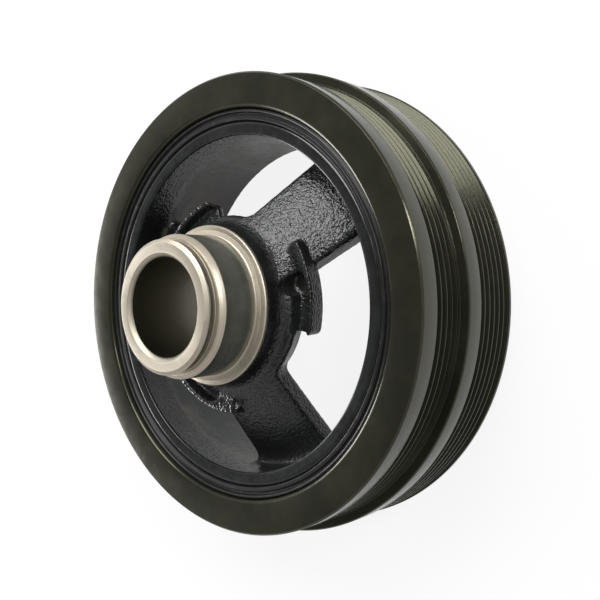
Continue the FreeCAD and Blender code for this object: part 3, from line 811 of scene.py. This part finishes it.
def casting_paint():
    """Glossy black paint that has run into the rough skin, dulled by dust low in the drum, where painted
    light also lightens it.
    """
    finish, tree, shader, place = new_finish("casting_paint")
    reach, up = radius_and_height(tree, place)
    swing = times(tree, grain(tree, place, DUST_EDGE_WAVES, 4.0, 0.65), DUST_EDGE_SWING * MM)
    ragged = minus(tree, swing, DUST_EDGE_DROP * MM)
    deep = times(tree, falls(tree, plus(tree, up, ragged), DUST_TOP), rises(tree, reach, DUST_WALL))
    faced = times(tree, rises(tree, reach, FACED_RADIUS), rises(tree, up, FACED_HEIGHT))
    dust = times(tree, ramp(tree, grain(tree, place, DUST_CLOUDS, 5.0, 0.6), 0.0, 1.0, *DUST_FROM), deep)
    grey = ramp(tree, grain(tree, place, GREY_CLOUDS, 4.0), 0.0, GREY_MOST, *GREY_FROM)
    # Random grey clouds, plus painted light that lightens the paint evenly low in the drum.
    paint = blend_colour(tree, plus(tree, grey, times(tree, deep, DEEP_PAINTED_LIGHT)), CAST_COLOUR, CAST_GREY)
    colour = blend_colour(tree, times(tree, dust, DUST_COLOUR_SHARE), paint, CAST_DUSTY)
    shine = ramp(tree, grain(tree, place, CAST_SHINE_PATCHES), *CAST_ROUGHNESS, *NOISE_MIDDLE)
    dull = plus(tree, times(tree, dust, DUST_ROUGHNESS), times(tree, deep, DEEP_ROUGHNESS))
    pebbled = minus(tree, rest_of(tree, faced), times(tree, deep, DEEP_SMOOTH))
    pebbles = times(tree, grain(tree, place, PEBBLES, 1.5, 0.5), pebbled)
    peel = raised(tree, grain(tree, place, CAST_PEEL, 2.0), CAST_PEEL_BUMP,
                  raised(tree, pebbles, PEBBLE_BUMP))
    feed_shader(tree, shader, {"Base Color": colour, "Roughness": plus(tree, shine, dull), "Normal": peel})
    return finish


cast_finish = casting_paint()
hub_casting = add_object("hub_casting", casting_mesh("hub_casting"))
apply_tree(hub_casting, rough_skin_tree(cast_finish),
           {"Depth": SKIN_DEPTH * MM, "Waves to a metre": SKIN_WAVES}, cast_finish, CAST_SHARP_EDGE)
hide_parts("hub")

# Machined core of the same casting. The collar's rim, the seal surface, the grooved end and the
# bore of the snout are turned bright and left bare, and so is the bolt's seat at the bore's foot.
# The neck round that seat is painted with the casting.
BORE_RADIUS = 18.7
BOLT_SEAT = 33.0
SEAL_RADIUS = 27.2
END_RADIUS = 25.25
END_GROOVE_RADIUS = 22.9
END_GROOVE_BASE = 85.4
END_GROOVE_TOP = 87.7
SNOUT_END = 89.07
SNOUT_OUTLINE = [
    (19.5, BOLT_SEAT), (23.0, BOLT_SEAT, 0.6), (24.0, 36.4, 1.0), (27.5, 40.3), (29.5, 59.9),
    (31.2, 60.2), (31.2, 65.5, 0.15), (30.8, 65.9, 0.15), (29.3, 66.15), (29.3, 66.4, 0.1),
    (SEAL_RADIUS, 66.9, 0.8), (SEAL_RADIUS, 81.9, 0.15), (25.7, 83.9, 0.15),
    (END_RADIUS, 83.9, 0.1), (END_RADIUS, END_GROOVE_BASE, 0.2),
    (END_GROOVE_RADIUS, END_GROOVE_BASE, 0.4), (END_GROOVE_RADIUS, END_GROOVE_TOP, 0.4),
    (END_RADIUS, END_GROOVE_TOP, 0.12), (END_RADIUS, 88.1, 0.12), (23.8, SNOUT_END, 0.2),
    (20.1, SNOUT_END, 0.15), (BORE_RADIUS, 87.67, 0.15), (BORE_RADIUS, 33.8),
]
CORE_STEPS = 288
STEEL_COLOUR = (0.50, 0.445, 0.355, 1.0)
STEEL_DARK = (0.33, 0.295, 0.235, 1.0)
SEAL_COLOUR = (0.23, 0.235, 0.195, 1.0)
SEAL_WORN = (0.40, 0.395, 0.34, 1.0)
# The bore's steel is painted darker, as painted shade inside the bore.
BORE_SHADE_COLOUR = (0.22, 0.21, 0.165, 1.0)
# Where each part of the finish starts or stops, as two radii or two heights.
SEAL_START = (67.4, 67.9)
SEAL_STOP = (81.6, 82.0)
SEAL_SIDE = (26.0, 26.6)
BORE_SIDE = (18.9, 19.4)
# The end groove's painted shade starts and stops here.
GROOVE_SHADE_START = (85.3, 85.6)
GROOVE_SHADE_STOP = (87.5, 87.8)
GROOVE_SHADE_SIDE = (23.3, 24.6)
END_FACE = (87.9, 88.8)
PAINT_STOP = (44.0, 45.0)
PAINT_SIDE = (23.2, 23.6)
STEEL_MARKS = 1500.0
STEEL_MARKS_FROM = (0.35, 0.7)
STEEL_STAINS = 120.0
STEEL_STAINS_FROM = (0.5, 0.75)
STEEL_DARK_MOST = 0.5
SEAL_MARKS = 330.0
SEAL_MARKS_FROM = (0.4, 0.65)
SEAL_MARKS_MOST = 0.6
SEAL_STAINS_FROM = (0.4, 0.7)
SEAL_STAINS_MOST = 0.5
LEAST_METAL = 0.5
OUTSIDE_METAL_SHARE = 0.5
STEEL_ROUGHNESS = (0.30, 0.44)
SEAL_ROUGHNESS = 0.26
STEEL_STRETCH = 0.75
TOOL_MARKS = 2400.0
TOOL_MARK_BUMP = (0.5, 0.05 * MM)
SEAL_POLISH = 0.97


def bare_steel():
    """Turned bare metal with a warm tint, polished where the oil seal runs, with painted shade in the end
    groove and in the bore.
    """
    finish, tree, shader, place = new_finish("bare_steel")
    reach, up = radius_and_height(tree, place)
    seal = times(tree, rises(tree, up, SEAL_START), falls(tree, up, SEAL_STOP))
    seal = times(tree, seal, rises(tree, reach, SEAL_SIDE))
    bore = falls(tree, reach, BORE_SIDE)
    # The end groove, which is painted dark as painted shade.
    groove = times(tree, rises(tree, up, GROOVE_SHADE_START), falls(tree, up, GROOVE_SHADE_STOP))
    groove = times(tree, falls(tree, reach, GROOVE_SHADE_SIDE), groove)
    painted = times(tree, falls(tree, up, PAINT_STOP), rises(tree, reach, PAINT_SIDE))

    marks = turning_marks(tree, place, STEEL_MARKS)
    stain = grain(tree, place, STEEL_STAINS, 5.0, 0.65)
    dark = plus(tree, ramp(tree, marks, 0.0, STEEL_DARK_MOST, *STEEL_MARKS_FROM),
                ramp(tree, stain, 0.0, STEEL_DARK_MOST, *STEEL_STAINS_FROM))
    seal_marks = turning_marks(tree, place, SEAL_MARKS)
    worn = plus(tree, ramp(tree, seal_marks, 0.0, SEAL_MARKS_MOST, *SEAL_MARKS_FROM),
                ramp(tree, stain, 0.0, SEAL_STAINS_MOST, *SEAL_STAINS_FROM))
    colour = blend_colour(tree, dark, STEEL_COLOUR, STEEL_DARK)
    colour = blend_colour(tree, seal, colour, blend_colour(tree, worn, SEAL_COLOUR, SEAL_WORN))
    # Painted shade inside the bore.
    colour = blend_colour(tree, bore, colour, BORE_SHADE_COLOUR)
    # Painted shade in the end groove, in the seal's colour.
    colour = blend_colour(tree, groove, colour, SEAL_COLOUR)
    colour = blend_colour(tree, painted, colour, CAST_COLOUR)

    outside = times(tree, falls(tree, up, END_FACE), OUTSIDE_METAL_SHARE)
    metal = ramp(tree, maths(tree, "MAXIMUM", outside, bore), LEAST_METAL, 1.0)
    rough = times(tree, ramp(tree, marks, *STEEL_ROUGHNESS, *NOISE_MIDDLE), rest_of(tree, seal))
    rough = plus(tree, rough, times(tree, seal, SEAL_ROUGHNESS))
    depth = rest_of(tree, times(tree, seal, SEAL_POLISH))
    height = times(tree, turning_marks(tree, place, TOOL_MARKS), depth)
    around = add_node(tree, "ShaderNodeTangent", {"direction_type": "RADIAL", "axis": "Z"})
    feed_shader(tree, shader, {
        "Base Color": colour,
        "Metallic": times(tree, metal, rest_of(tree, painted)),
        "Roughness": rough,
        "Normal": raised(tree, height, TOOL_MARK_BUMP),
        "Tangent": around.outputs[0],
    })
    shader.inputs["Anisotropic"].default_value = STEEL_STRETCH
    return finish


snout = turned_piece("snout_and_bore", SNOUT_OUTLINE, CORE_STEPS, bare_steel())
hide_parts("hub")
